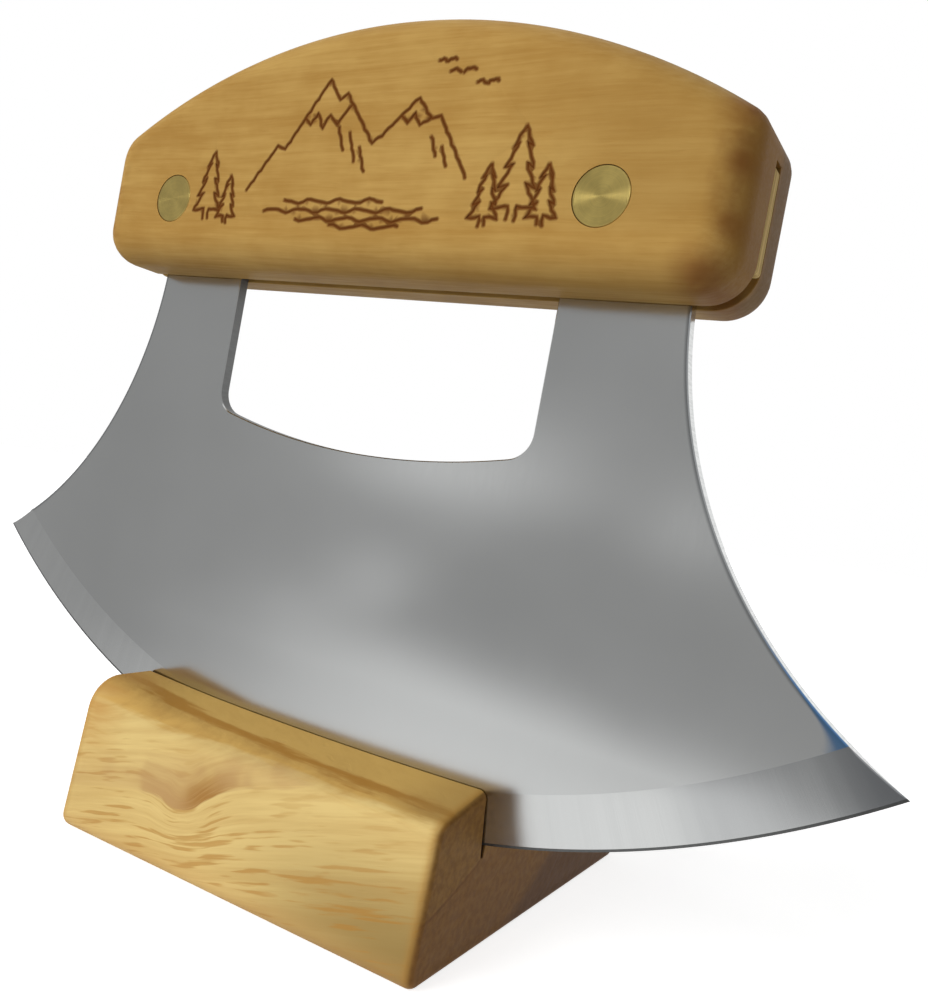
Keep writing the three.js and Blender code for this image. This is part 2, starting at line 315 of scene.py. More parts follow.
def inside(places, loops):
    """Which places lie inside an odd number of the loops."""
    odd = np.zeros(len(places), bool)
    for loop in loops:
        a = np.array(loop)
        b = np.roll(a, -1, axis=0)
        spans = (a[:, 1] > places[:, 1:2]) != (b[:, 1] > places[:, 1:2])
        rise = np.where(a[:, 1] == b[:, 1], 1, b[:, 1] - a[:, 1])
        crossing = a[:, 0] + (places[:, 1:2] - a[:, 1]) * (b[:, 0] - a[:, 0]) / rise
        odd ^= (spans & (places[:, :1] < crossing)).sum(1) % 2 == 1
    return odd


def filled(loops, lines=(), dots=()):
    """Triangles inside the first loop and outside the others, with every line kept as an edge.

    Gives the points, the triangles, and for each given point its number among the points.
    """
    given = []
    edges = []
    for run, is_loop in [(loop, True) for loop in loops] + [(line, False) for line in lines]:
        first = len(given)
        given += run
        edges += [(first + i, first + i + 1) for i in range(len(run) - 1)]
        if is_loop:
            edges.append((first + len(run) - 1, first))
    given += list(dots)
    points, _, faces, sources, _, _ = delaunay_2d_cdt([Vector(p) for p in given], edges, [], 0, SAME_PLACE)
    points = np.array(points)
    faces = np.array(faces)
    faces = faces[inside(points[faces].mean(1), loops)]
    number = {source: i for i, group in enumerate(sources) for source in group}
    return points, faces.tolist(), number


class Shell:
    """Vertices and faces of one closed piece. Each face has a finish and smooth or flat shading."""

    def __init__(self):
        self.points = []
        self.marks = []
        self.faces = []
        self.finishes = []
        self.smooth = []

    def add(self, points, marks=None):
        first = len(self.points)
        self.points += [tuple(p) for p in points]
        self.marks += list(marks) if marks is not None else [0.0] * len(points)
        return list(range(first, len(self.points)))

    def face(self, corners, finish=0, smooth=False):
        self.faces.append(corners)
        self.finishes.append(finish)
        self.smooth.append(smooth)

    def strip(self, first, second, smooth=True, closed=True):
        """Quads between two runs of as many points."""
        for i in range(len(first) if closed else len(first) - 1):
            j = (i + 1) % len(first)
            self.face((first[i], first[j], second[j], second[i]), smooth=smooth)

    def strips(self, runs, smooth=True):
        for first, second in zip(runs, runs[1:]):
            self.strip(first, second, smooth)

    def piece(self, name, materials, place=Matrix.Identity(4), mark="", sharp=math.radians(35)):
        """The finished object, closed, turned outwards and set in the row frame."""
        mesh = bpy.data.meshes.new(name)
        mesh.from_pydata([place @ Vector(p) for p in self.points], [], self.faces)
        mesh.polygons.foreach_set("material_index", self.finishes)
        mesh.polygons.foreach_set("use_smooth", self.smooth)
        if mark:
            mesh.attributes.new(mark, "FLOAT", "POINT").data.foreach_set("value", self.marks)
        for material in materials:
            mesh.materials.append(material)
        close(mesh)
        mesh.set_sharp_from_angle(angle=sharp)
        return placed(name, mesh)


def close(mesh):
    """Merges doubles, drops loose points and turns all faces outwards, and stops if the shell is open."""
    work = bmesh.new()
    work.from_mesh(mesh)
    bmesh.ops.remove_doubles(work, verts=work.verts, dist=SAME_PLACE)
    bmesh.ops.delete(work, geom=[v for v in work.verts if not v.link_faces], context="VERTS")
    bmesh.ops.recalc_face_normals(work, faces=work.faces)
    loose = sum(not edge.is_manifold for edge in work.edges)
    work.to_mesh(mesh)
    work.free()
    if loose:
        raise RuntimeError(f"{mesh.name} has {loose} open edges")


def placed(name, mesh):
    made = bpy.data.objects.new(name, mesh)
    bpy.context.scene.collection.objects.link(made)
    return made


def settle(made, body, slot, *nodes):
    """The piece rides on its body and stands for its solids."""
    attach(made, body)
    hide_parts(*nodes)


# Node trees

class Number:
    """A number that a node gives, with plain arithmetic."""

    def __init__(self, nodes, socket):
        self.nodes = nodes
        self.socket = socket

    def __add__(self, other):
        return self.nodes.math("ADD", self, other)

    def __sub__(self, other):
        return self.nodes.math("SUBTRACT", self, other)

    def __rsub__(self, other):
        return self.nodes.math("SUBTRACT", other, self)

    def __mul__(self, other):
        return self.nodes.math("MULTIPLY", self, other)

    def __truediv__(self, other):
        return self.nodes.math("DIVIDE", self, other)

    def __mod__(self, other):
        return self.nodes.math("MODULO", self, other)

    def __abs__(self):
        return self.nodes.math("ABSOLUTE", self)

    def at_least(self, other):
        return self.nodes.math("MAXIMUM", self, other)

    def band(self, low, high, at_low=0.0, at_high=1.0):
        """Goes smoothly from one amount to another as the number goes from low to high."""
        made = self.nodes.node("MapRange", {"Value": self, "From Min": low, "From Max": high,
                                            "To Min": at_low, "To Max": at_high},
                               interpolation_type="SMOOTHSTEP")
        return Number(self.nodes, made.outputs["Result"])


class Nodes:
    """A node tree and short calls for its nodes."""

    def __init__(self, tree):
        self.tree = tree
        tree.nodes.clear()

    def node(self, kind, values=None, **settings):
        """A node with its settings and inputs. A short kind is a shader node's."""
        made = self.tree.nodes.new(kind if "Node" in kind else "ShaderNode" + kind)
        for key, value in settings.items():
            setattr(made, key, value)
        for key, value in (values or {}).items():
            self.feed(made.inputs[key], value)
        return made

    def feed(self, socket, value):
        if isinstance(value, Number):
            value = value.socket
        if isinstance(value, bpy.types.NodeSocket):
            self.tree.links.new(value, socket)
        elif socket.type == "RGBA" and len(value) == 3:
            socket.default_value = (*value, 1)
        else:
            socket.default_value = value

    def math(self, operation, *values, clamp=False):
        made = self.node("Math", dict(enumerate(values)), operation=operation, use_clamp=clamp)
        return Number(self, made.outputs[0])

    def vector(self, operation, *values):
        return self.node("VectorMath", dict(enumerate(values)), operation=operation).outputs[0]

    def scaled(self, vector, scale):
        return self.node("VectorMath", {0: vector, "Scale": scale}, operation="SCALE").outputs[0]

    def distance(self, first, second):
        made = self.node("VectorMath", {0: first, 1: second}, operation="DISTANCE")
        return Number(self, made.outputs["Value"])

    def split(self, vector):
        made = self.node("SeparateXYZ", {"Vector": vector})
        return [Number(self, socket) for socket in made.outputs]

    def join(self, **parts):
        return self.node("CombineXYZ", parts).outputs[0]

    def seen(self):
        """One for what the eye, a mirror or a glass shows, and zero for what lights the object."""
        path = self.node("LightPath").outputs
        rays = ("Camera", "Glossy", "Transmission")
        eye, mirror, glass = (Number(self, path[f"Is {ray} Ray"]) for ray in rays)
        return eye.at_least(mirror.at_least(glass))


class Look(Nodes):
    """The node tree of one material."""

    def __init__(self, name):
        self.material = bpy.data.materials.new(name)
        self.material.use_nodes = True
        super().__init__(self.material.node_tree)

    def places(self, axes=Matrix.Identity(4)):
        """Object coordinates, turned into the given axes."""
        source = self.node("TexCoord").outputs["Object"]
        mapping = self.node("Mapping", {"Vector": source, "Location": axes.to_translation(),
                                        "Rotation": axes.to_euler()})
        return mapping.outputs["Vector"]

    def attribute(self, name):
        return Number(self, self.node("Attribute", attribute_name=name).outputs["Fac"])

    def noise(self, vector, stretch, detail=3.0, roughness=0.55):
        """Noise whose features are as many to the metre along each axis as stretch says."""
        made = self.node("TexNoise", {"Vector": self.vector("MULTIPLY", vector, stretch), "Scale": 1.0,
                                      "Detail": detail, "Roughness": roughness})
        return Number(self, made.outputs["Fac"])

    def spot(self, place, centre, radius):
        """A soft spot: whole at its centre and gone at its radius."""
        return self.distance(place, centre).band(0.0, radius, 1.0, 0.0)

    def mix(self, share, first, second):
        return self.node("Mix", {0: share, 6: first, 7: second}, data_type="RGBA").outputs[2]

    def bump(self, height, strength, depth):
        made = self.node("Bump", {"Height": height, "Strength": strength, "Distance": depth})
        return made.outputs["Normal"]

    def finish(self, colour, roughness, normal, tangent=None, **constants):
        """A Principled surface: constants go straight to its sockets."""
        surface = self.node("BsdfPrincipled", {"Base Color": colour, "Roughness": roughness,
                                               "Normal": normal})
        for key, value in constants.items():
            surface.inputs[key.replace("_", " ")].default_value = value
        if tangent:
            self.feed(surface.inputs["Tangent"], tangent)
        return self.end(surface.outputs[0])

    def glow(self, strength):
        return self.node("Emission", {"Strength": strength}).outputs[0]

    def end(self, surface):
        self.node("OutputMaterial", {"Surface": surface})
        return self.material


# Finishes of the wood

WOOD_SHINE = 0.12
# X, Z and radius in millimetres of what the router has browned at the handle's right end
ROUTER_MARKS = ((55.6, 11.2, 4.8), (56.2, 4.5, 3.6), (56.2, -3, 3.4), (53.6, -9, 5.8))
# Y and Z of the middle of the stand's growth rings, and X and Z of the knot on its front
STAND_PITH = (-42.9 * MM, 108.2 * MM)
STAND_KNOT = (-8.4 * MM, 11.5 * MM)


def grain(look, places, lines, fibres, sway):
    """Wood structure along X: broad lines, fine fibres and short dark pores."""
    bend = look.noise(places, (14, 40, 40), detail=2)
    shift = look.vector("MULTIPLY", look.join(Y=bend, Z=bend), (0, sway, sway))
    swayed = look.vector("ADD", places, shift)
    broad = look.noise(swayed, (lines / 18, lines, lines), detail=4, roughness=0.6)
    fine = look.noise(swayed, (fibres / 25, fibres, fibres), detail=3, roughness=0.65)
    pores = look.noise(swayed, (fibres / 9, fibres, fibres), detail=1)
    return broad, fine, pores.band(0.64, 0.76)


def handle_wood(finishes):
    """Oiled wood with fine even grain, browned at the ends and along the burned lines, with painted shade
    towards the lower right and on the end grain behind the kerf.
    """
    look = Look("oiled handle wood")
    places = look.places(TO_KNIFE)
    x, y, z = look.split(places)
    broad, fine, pores = grain(look, places, lines=190, fibres=1700, sway=3 * MM)
    figure = look.noise(places, (90, 60, 120), detail=3, roughness=0.6)
    tone = broad * 0.45 + fine * 0.35 + figure * 0.4
    colour = look.mix(tone.band(0.4, 0.82), finishes.handle_dark, finishes.handle_light)
    colour = look.mix(pores * 0.2, colour, finishes.handle_dark)
    # Painted shade where the key light falls off towards the lower right of the handle
    painted_falloff = x.band(18 * MM, 50 * MM, 0.0, 0.4) * z.band(-8 * MM, 0.0)
    colour = look.mix(painted_falloff, colour, finishes.handle_painted_shade)

    reach = abs(x)
    cloud = look.noise(places, (170, 170, 170), detail=3, roughness=0.6)
    router = reach.band(51 * MM, 54.5 * MM) * cloud.band(0.45, 0.7, 0.05, 0.6)
    patchy = cloud.band(0.25, 0.6, 0.6, 1.0)
    flat = look.join(X=x, Z=z)
    for mark_x, mark_z, radius in ROUTER_MARKS:
        mark = look.spot(flat, (mark_x * MM, 0, mark_z * MM), radius * MM)
        router = router.at_least(mark * patchy)
    colour = look.mix(router * 0.85, colour, finishes.router_brown)
    end_grain = reach.band(55.5 * MM, 57.5 * MM, 0.0, 0.85)
    colour = look.mix(end_grain, colour, finishes.handle_end)
    # Painted shade on the end grain behind the kerf
    back_end_shade = reach.band(53 * MM, 56.5 * MM) * y.band(0.0, 3 * MM, 0.0, 0.6)
    colour = look.mix(back_end_shade, colour, finishes.handle_end_painted_shade)
    burn = look.attribute("burn")
    colour = look.mix(burn, colour, finishes.scorched)

    roughness = fine.band(0.3, 0.75, 0.6, 0.48).at_least(burn * 0.9)
    normal = look.bump(fine - pores * 0.8, 0.12, 0.15 * MM)
    return look.finish(colour, roughness, normal, Specular_IOR_Level=WOOD_SHINE)


def strip_wood(finishes):
    """Raw pale wood with open pores."""
    look = Look("raw strip wood")
    places = look.places(TO_KNIFE)
    fibres = look.noise(look.vector("MULTIPLY", places, (1, 1, 0.04)), (1800, 1800, 1800))
    colour = look.mix(fibres.band(0.3, 0.7), finishes.handle_light, finishes.strip_pale)
    return look.finish(colour, 0.75, look.bump(fibres, 0.3, 0.1 * MM), Specular_IOR_Level=0.3)


def stand_wood(finishes):
    """Pale streaky wood with curved growth rings, a knot on the front and a brown top, partly painted shade
    at the lower right of the front, and painted shade in the slot.
    """
    look = Look("knotty stand wood")
    wood = stand_grain(look)
    colour = front_colour(look, wood, finishes)
    for dress in (knot_colour, top_colour, edge_colour, end_colour, painted_slot_shade):
        colour = dress(look, wood, finishes, colour)
    roughness = wood.fine.band(0.3, 0.75, 0.62, 0.5)
    normal = look.bump(wood.fine - wood.pores * 0.9, 0.15, 0.18 * MM)
    return look.finish(colour, roughness, normal, Specular_IOR_Level=WOOD_SHINE)


def stand_grain(look):
    """Places in the stand, its growth rings, which dip round the knot, and the grain that follows them."""
    places = look.places()
    x, y, z = look.split(places)
    ring = STAND_PITH[1] - look.distance(look.join(Y=y, Z=z), (0, *STAND_PITH))
    wobble = look.noise(places, (120, 120, 120), detail=2, roughness=0.5) - 0.5
    straight = x - STAND_KNOT[0]
    beside = straight + wobble * (7 * MM)
    away = look.math("SQRT", beside * beside + (2 * MM) ** 2)
    level = (z - STAND_KNOT[1]) / (6 * MM)
    near = look.math("EXPONENT", away / (-5 * MM)) * look.math("EXPONENT", level * level * -1.0)
    rise = 0.235
    dipped = ring - straight * rise + near * (5.5 * MM)
    flowing = look.join(X=x, Y=y * 0.3, Z=dipped)
    broad, fine, pores = grain(look, flowing, lines=420, fibres=1500, sway=1.2 * MM)
    streak = broad * 0.75 + fine * 0.28
    fray = look.noise(places, (45, 300, 420), detail=4, roughness=0.6) - 0.5
    return SimpleNamespace(places=places, x=x, y=y, z=z, reach=abs(x), ring=ring, wobble=wobble,
                           beside=beside, away=away, dipped=dipped, flowing=flowing, fine=fine,
                           pores=pores, streak=streak, fray=fray)


def front_colour(look, wood, finishes):
    """Pale streaks with brown dashes, greyer at the lower right, partly from the wood's own tone and partly
    painted shade.
    """
    colour = look.mix(wood.streak.band(0.36, 0.64, 0.45, 1.0), finishes.stand_tan, finishes.stand_light)
    # Partly painted shade and partly the wood's greyer tone: darker towards the lower right of the front
    shade = wood.x.band(-6 * MM, 34 * MM) * wood.z.band(20 * MM, 4 * MM, 0.0, 0.95)
    colour = look.mix(shade, colour, finishes.stand_shade)
    dashes = look.noise(wood.flowing, (130, 1500, 1500), detail=2, roughness=0.4)
    dashes = dashes.band(0.55, 0.68, 0.0, 0.6) * wood.z.band(20 * MM, 8 * MM, 0.3, 1.0)
    return look.mix(dashes, colour, finishes.stand_heart)


def knot_colour(look, wood, finishes, colour):
    """The swirl above the dipped rings, and the brown flame in it."""
    frayed = wood.dipped + (wood.fine - 0.5) * (3 * MM)
    above = frayed.band(9.4 * MM, 10.2 * MM)
    swirl = above * frayed.band(15.8 * MM, 10.8 * MM) * wood.away.band(0.0, 30 * MM, 0.95, 0.35)
    swirl = swirl * wood.wobble.band(-0.12, 0.08, 0.45, 1.0)
    colour = look.mix(swirl, colour, finishes.knot_swirl)
    squeeze = 0.6
    middle = ((STAND_KNOT[0] + 4.5 * MM) * squeeze, 0, STAND_KNOT[1] + 1.2 * MM)
    flame = look.spot(look.vector("MULTIPLY", wood.places, (squeeze, 0, 1)), middle, 6.2 * MM)
    flame = flame * above * wood.beside.band(-1.4 * MM, 1.2 * MM, 0.3, 1.0)
    flame = flame * wood.fine.band(0.35, 0.6, 0.45, 1.0)
    return look.mix(flame, colour, finishes.knot_flame)


def top_colour(look, wood, finishes, colour):
    """Brown heartwood on the top, golden beside the slot, with a dark streak along it."""
    forward = wood.fray * (6 * MM) - wood.y
    heart = forward.band(12.4 * MM, 10.8 * MM) * wood.z.band(17.5 * MM, 19.5 * MM)
    heart = heart * wood.y.band(2 * MM, 16 * MM, 1.0, 0.5)
    brown = look.mix(wood.streak.band(0.36, 0.64), finishes.top_brown, finishes.top_tan)
    colour = look.mix(heart * 0.9, colour, brown)
    golden = forward.band(7.8 * MM, 6.6 * MM) * wood.y.band(2 * MM, 6 * MM, 0.6, 0.0)
    colour = look.mix(golden * heart, colour, finishes.top_gold)
    course = wood.x.band(-30 * MM, 35 * MM, 6.4 * MM, 9.2 * MM)
    line = abs(forward - course).band(1.4 * MM, 0.3 * MM, 0.0, 0.85)
    colour = look.mix(line * heart, colour, finishes.stand_heart)
    # Darker towards the right end of the top
    right_darkening = wood.x.band(22 * MM, 34 * MM, 0.0, 0.5)
    return look.mix(right_darkening * heart, colour, finishes.top_right_dark)


def edge_colour(look, wood, finishes, colour):
    """Browned wood at the left, along the base and along the edges of the ends."""
    left = wood.x.band(-24 * MM, -34 * MM) * wood.z.band(8 * MM, 20 * MM)
    colour = look.mix(left * wood.fray.band(-0.15, 0.1, 0.3, 0.8), colour, finishes.left_brown)
    colour = look.mix(wood.z.band(5 * MM, 0.0, 0.0, 0.4), colour, finishes.base_brown)
    edge = wood.reach.band(STAND_END - 2 * MM, STAND_END - 0.3 * MM, 0.0, 0.55)
    return look.mix(edge, colour, finishes.stand_heart)


def end_colour(look, wood, finishes, colour):
    """Pitted end grain whose tone changes with the rings, and a crack along one of them."""
    end = wood.reach.band(STAND_END - 0.6 * MM, STAND_END - 0.1 * MM)
    pits = look.noise(wood.places, (900, 900, 900)).band(0.35, 0.65, 0.8, 1.15)
    colour = look.mix(end * 0.88, colour, look.scaled(finishes.stand_end, pits))
    inner = wood.ring.band(4.6 * MM, 3.6 * MM, 0.0, 0.3)
    colour = look.mix(inner * end, colour, finishes.inner_ring)
    outer = wood.ring.band(-10 * MM, -13.5 * MM, 0.0, 0.7)
    colour = look.mix(outer * end, colour, finishes.outer_ring)
    shake = abs(wood.ring - 4.3 * MM) + (wood.fine - 0.5) * (0.6 * MM)
    crack = shake.band(0.5 * MM, 0.0, 0.0, 0.45) * wood.y.band(1.5 * MM, -1 * MM)
    return look.mix(crack * end, colour, finishes.scorched)


def painted_slot_shade(look, wood, finishes, colour):
    """Painted shade on the walls of the slot, below its mouth and short of the ends."""
    within = abs(wood.y).band(1.8 * MM, 1.4 * MM)
    within = within * wood.reach.band(STAND_END - 0.1 * MM, STAND_END - 0.3 * MM)
    deep = wood.z.band(11.5 * MM, 12.5 * MM) * wood.z.band(22.2 * MM, 19 * MM)
    return look.mix(within * deep, colour, finishes.slot_painted_shade)


# Finishes of the metal

def shaded(colour, share):
    return [channel * share for channel in colour]


def sheet_steel(finishes, side, radius):
    """Satin rolled sheet with soft smears, dark along the hollow sides, with a blue tint above the right tip.

    A slight bow towards the edge turns the mirror image of the stand's top down.
    """
    look = Look("satin sheet steel")
    places = look.places(TO_KNIFE)
    x, _, z = look.split(places)
    smear = look.noise(places, (22, 22, 30), detail=3, roughness=0.5)
    colour = look.mix(smear.band(0.3, 0.7), shaded(finishes.steel, 0.94), finishes.steel)
    depth = look.distance(look.join(X=abs(x), Z=z), (side.x, 0, side.y)) - radius
    colour = look.mix(depth.band(0.7 * MM, 0.2 * MM, 0.0, 0.6), colour, finishes.side_dark)

    # A blue tint along the end of the ground band above the right tip
    low = look.math("DIVIDE", z + 51.5 * MM, -9.5 * MM, clamp=True)
    width = look.math("POWER", low, 4.0) * (2.6 * MM) + 0.3 * MM
    blue_patch = (depth / width).band(1.0, 0.45) * z.band(-47 * MM, -56 * MM, 0.0, 0.85)
    blue_patch = blue_patch * look.math("GREATER_THAN", x, 0.0)
    colour = look.mix(blue_patch, colour, finishes.tip_blue)

    mill = look.noise(places, (2600, 2600, 320), detail=2)
    roughness = smear.band(0.25, 0.75, 0.15, 0.2) + mill * 0.03
    relief = z.band(-70 * MM, -86 * MM, 0.0, 0.45 * MM) + mill * (0.00045 * MM)
    return look.finish(colour, roughness, look.bump(relief, 1.0, 1.0), Metallic=1.0)


def ground_steel(finishes):
    """Fine grinding marks that run from the edge into the sheet, with a painted dark reflection towards the
    right tip.
    """
    look = Look("ground edge steel")
    run = look.attribute("edge_run")
    line = look.join(X=run)
    marks = look.noise(line, (9000, 1, 1), detail=2) * 0.6 + look.noise(line, (420, 1, 1)) * 0.4
    colour = look.mix(marks.band(0.3, 0.7), finishes.steel, shaded(finishes.steel, 1.12))
    # Painted dark reflection towards the right tip
    reflected_dark = run.band(60 * MM, 70 * MM, 0.0, 0.3) + run.band(81 * MM, 90 * MM, 0.0, 0.55)
    colour = look.mix(reflected_dark, colour, finishes.painted_tip_reflection)
    roughness = marks.band(0.3, 0.7, 0.16, 0.24)
    return look.finish(colour, roughness, look.bump(marks, 0.06, 0.04 * MM), Metallic=1.0)


def cut_steel(name, finishes, shade, rough):
    """The cut edges of the sheet, with marks across its thickness."""
    look = Look(name)
    marks = look.noise(look.places(TO_KNIFE), (2400, 300, 2400), detail=2)
    dark, light = (shaded(finishes.steel, shade * share) for share in (0.8, 1))
    colour = look.mix(marks.band(0.3, 0.7), dark, light)
    roughness = marks.band(0.3, 0.7, rough * 0.8, rough)
    return look.finish(colour, roughness, look.bump(marks, 0.05, 0.04 * MM), Metallic=1.0)


def turned_metal(finishes):
    """Lathe-turned metal: fine rings that draw the light out into a streak."""
    look = Look("turned rivet metal")
    places = look.places(TO_KNIFE)
    x, _, z = look.split(places)
    outward = look.join(X=x - look.math("SIGN", x) * PIN_MIDDLE_X, Z=z)
    rings = look.noise(look.join(X=look.distance(outward, (0, 0, 0))), (7000, 1, 1), detail=2)
    tarnish = look.noise(places, (500, 500, 500), detail=2)
    colour = look.mix((rings + tarnish).band(0.8, 1.25), shaded(finishes.brass, 0.85), finishes.brass)
    roughness = rings.band(0.3, 0.7, 0.28, 0.36)
    normal = look.bump(rings, 0.04, 0.03 * MM)
    return look.finish(colour, roughness, normal, outward, Metallic=1.0, Anisotropic=0.95)


# Stand

def top_height(size, x):
    """Height of the worn lip of the slot at a place along the stand."""
    share = x / STAND_END
    return size.height - size.tilt / 2 * share - size.sag * (1 - share ** 2)


def half_section(size, base, top_round, inset):
    """One side of the stand's section, from the base up to the top, at a distance from the slot's middle."""
    slope = math.atan2(size.lean, size.height)
    low_y = base - size.base_round * math.tan(math.pi / 4 + slope / 2)
    high_y = base - size.lean - top_round * math.tan(math.pi / 4 - slope / 2)
    low = arc((low_y, size.base_round), size.base_round - inset, -QUARTER, slope, 8)
    high = arc((high_y, size.height - top_round), top_round - inset, slope, QUARTER, 10)
    return low + high


def stand_section(size, x, inset):
    """The stand's rounded section in Y and Z, drawn in by an inset, without its slot.

    It runs from the front upper corner down, along the base and up to the back upper corner.
    """
    share = (x / STAND_END + 1) / 2
    front_round = size.left_round + (size.right_round - size.left_round) * share
    front = half_section(size, size.setback, front_round, inset)
    back = half_section(size, size.depth - size.setback, size.right_round, inset)
    return mirrored(front) + back


def slot_run(size, x, inset):
    """The slot's section in Y and Z at a place along the stand, from its back lip to its front lip."""
    top = size.height - inset
    floor = size.height - size.slot_depth + size.slot_radius - math.sqrt(size.slot_radius ** 2 - x ** 2)

    def wall(y):
        return [(y + size.slot_ease, top), (y, top - size.slot_ease), (y, floor + size.slot_taper),
                (size.slot_foot, floor)]

    return wall(size.slot_back) + mirrored(wall(size.slot_front))


def worn(size, x, y, z):
    """A point of the square section, moved to where wear and sanding have left it."""
    high = z / size.height
    front = min(max(-y / size.setback, 0), 1)
    share = min((x / STAND_END + 1) * 2, 1)
    return x, y, z + (top_height(size, x) - size.height) * high ** 2 - size.fall * share * front * high ** 4


def build_stand(size, finishes):
    """Sections from end to end, closed by two flat faces."""
    shell = Shell()
    end = [(STAND_END - size.end_round * (1 - math.cos(a)), size.end_round * (1 - math.sin(a)))
           for a in round_steps(8)]
    middle = [(x, 0.0) for x in np.linspace(STAND_END - size.end_round, size.end_round - STAND_END, 30)[1:-1]]
    rings = []
    for x, inset in end + middle + [(-x, inset) for x, inset in reversed(end)]:
        ring = stand_section(size, x, inset) + slot_run(size, x, inset)
        rings.append((ring, shell.add([worn(size, x, y, z) for y, z in ring])))
    shell.strips([numbers for _, numbers in rings])
    for ring, numbers in (rings[0], rings[-1]):
        _, faces, number = filled([ring])
        order = {point: numbers[source] for source, point in number.items()}
        for face in faces:
            shell.face([order[i] for i in face])
    return shell.piece("stand_block", [stand_wood(finishes)], sharp=math.radians(40))


# Blade

SHEET, GROUND, HONED, SHEARED, POLISHED = range(5)


def blade_outline(size):
    """The blade's outline in X and Z, the run of it that isn't the cutting edge, and two centres.

    The centres are those of the cutting edge and of the right hollow side.
    """
    tip_x = BLADE_HIGH.x
    edge_z = BLADE_LOW.z + size.edge_radius
    tip_turn = math.asin(tip_x / size.edge_radius)
    tip_z = edge_z - size.edge_radius * math.cos(tip_turn)
    base_z = HANDLE_LOW.z
    inner_x = size.window_width / 2
    outer_x = inner_x + size.tang_width

    chord = Vector((outer_x - tip_x, base_z - tip_z))
    reach = math.sqrt(size.side_radius ** 2 - chord.length_squared / 4)
    side = Vector((tip_x + outer_x, tip_z + base_z)) / 2 + Vector((chord.y, -chord.x)).normalized() * reach
    tip_angle = math.atan2(tip_z - side.y, tip_x - side.x) % (2 * math.pi)
    top_angle = math.atan2(base_z - side.y, outer_x - side.x) % (2 * math.pi)

    corner = size.tang_corner
    corner_z = BLADE_HIGH.z - corner
    floor_z = base_z - size.finger_gap + size.window_radius
    fillet_x = inner_x - size.window_corner
    fillet_z = floor_z - math.sqrt((size.window_radius - size.window_corner) ** 2 - fillet_x ** 2)
    fillet_turn = math.atan2(fillet_z - floor_z, fillet_x)

    edge = arc((0, edge_z), size.edge_radius, -QUARTER, tip_turn - QUARTER, 120)
    rest = arc(side, size.side_radius, tip_angle, top_angle, 48)
    rest += arc((outer_x - corner, corner_z), corner, 0, QUARTER, 8)
    rest += arc((inner_x + corner, corner_z), corner, QUARTER, 2 * QUARTER, 8)
    rest += arc((fillet_x, fillet_z), size.window_corner, 0, fillet_turn, 12)
    rest += arc((0, floor_z), size.window_radius, fillet_turn, -QUARTER, 24)
    rest += mirrored(rest)
    rest = joined_steps(rest)
    return mirrored(edge)[:-1] + edge + rest[1:-1], rest, (0, edge_z), side


def left_of(ahead):
    """Unit steps to the left of the given directions."""
    return np.stack([-ahead[:, 1], ahead[:, 0]], 1) / np.linalg.norm(ahead, axis=1)[:, None]


def drawn_in(points, gap):
    """An open run of points moved to its left by a gap, with its two ends kept."""
    run = np.array(points)
    moved = run[1:-1] + left_of(run[2:] - run[:-2]) * gap
    return [points[0]] + [tuple(p) for p in moved] + [points[-1]]


def rim_edges(faces):
    """Edges that belong to one triangle alone."""
    uses = {}
    for a, b, c in faces:
        for pair in ((a, b), (b, c), (c, a)):
            uses.setdefault(tuple(sorted(pair)), []).append(pair)
    return np.array([pairs[0] for pairs in uses.values() if len(pairs) == 1])


def build_blade(size, finishes, hole):
    """Two filled faces that draw together towards the edge, and the rims between them."""
    outline, rest, centre, side = blade_outline(size)
    past_tip = 0.02
    reach = math.asin(BLADE_HIGH.x / size.edge_radius) + past_tip
    bands = [arc(centre, size.edge_radius - width, -QUARTER - reach, -QUARTER + reach, 240)
             for width in (size.ground_width, size.honed_width)]
    holes = [circle(sign * PIN_MIDDLE_X, 0, hole, 32) for sign in SIDES.values()]
    points, faces, _ = filled([outline, *holes], [drawn_in(rest, size.rim_ease), *bands])

    radii = np.hypot(points[:, 0] - centre[0], points[:, 1] - centre[1])
    ground, honed = size.edge_radius - size.ground_width, size.edge_radius - size.honed_width
    half = np.interp(radii, [ground, honed, size.edge_radius],
                     [BLADE_HIGH.y, size.honed_thickness / 2, size.edge_thickness / 2])
    sides = rim_edges(faces)
    rim = np.unique(sides)
    half[rim] = np.maximum(half[rim] - size.rim_ease, size.edge_thickness / 2)
    runs = size.edge_radius * np.arctan2(points[:, 0] - centre[0], centre[1] - points[:, 1])

    shell = Shell()
    front, back = (shell.add(np.stack([points[:, 0], y, points[:, 1]], 1), runs) for y in (-half, half))
    for face in faces:
        middle = radii[face].mean()
        finish = SHEET if middle < ground else GROUND if middle < honed else HONED
        for numbers in (front, back):
            shell.face([numbers[i] for i in face], finish, finish != SHEET)
    window = size.window_width / 2 + 0.01 * MM
    for a, b in sides:
        in_window = max(abs(points[a, 0]), abs(points[b, 0])) < window and radii[a] < ground
        on_edge = min(radii[a], radii[b]) > honed
        finish = HONED if on_edge else SHEARED if in_window else POLISHED
        shell.face((front[a], front[b], back[b], back[a]), finish, True)
    looks = [
        sheet_steel(finishes, side, size.side_radius),
        ground_steel(finishes),
        cut_steel("honed edge steel", finishes, shade=0.22, rough=0.4),
        cut_steel("sheared window steel", finishes, shade=0.3, rough=0.5),
        cut_steel("polished side steel", finishes, shade=1.2, rough=0.2),
    ]
    return shell.piece("blade_plate", looks, KNIFE, "edge_run", math.radians(30))


# Burned drawing

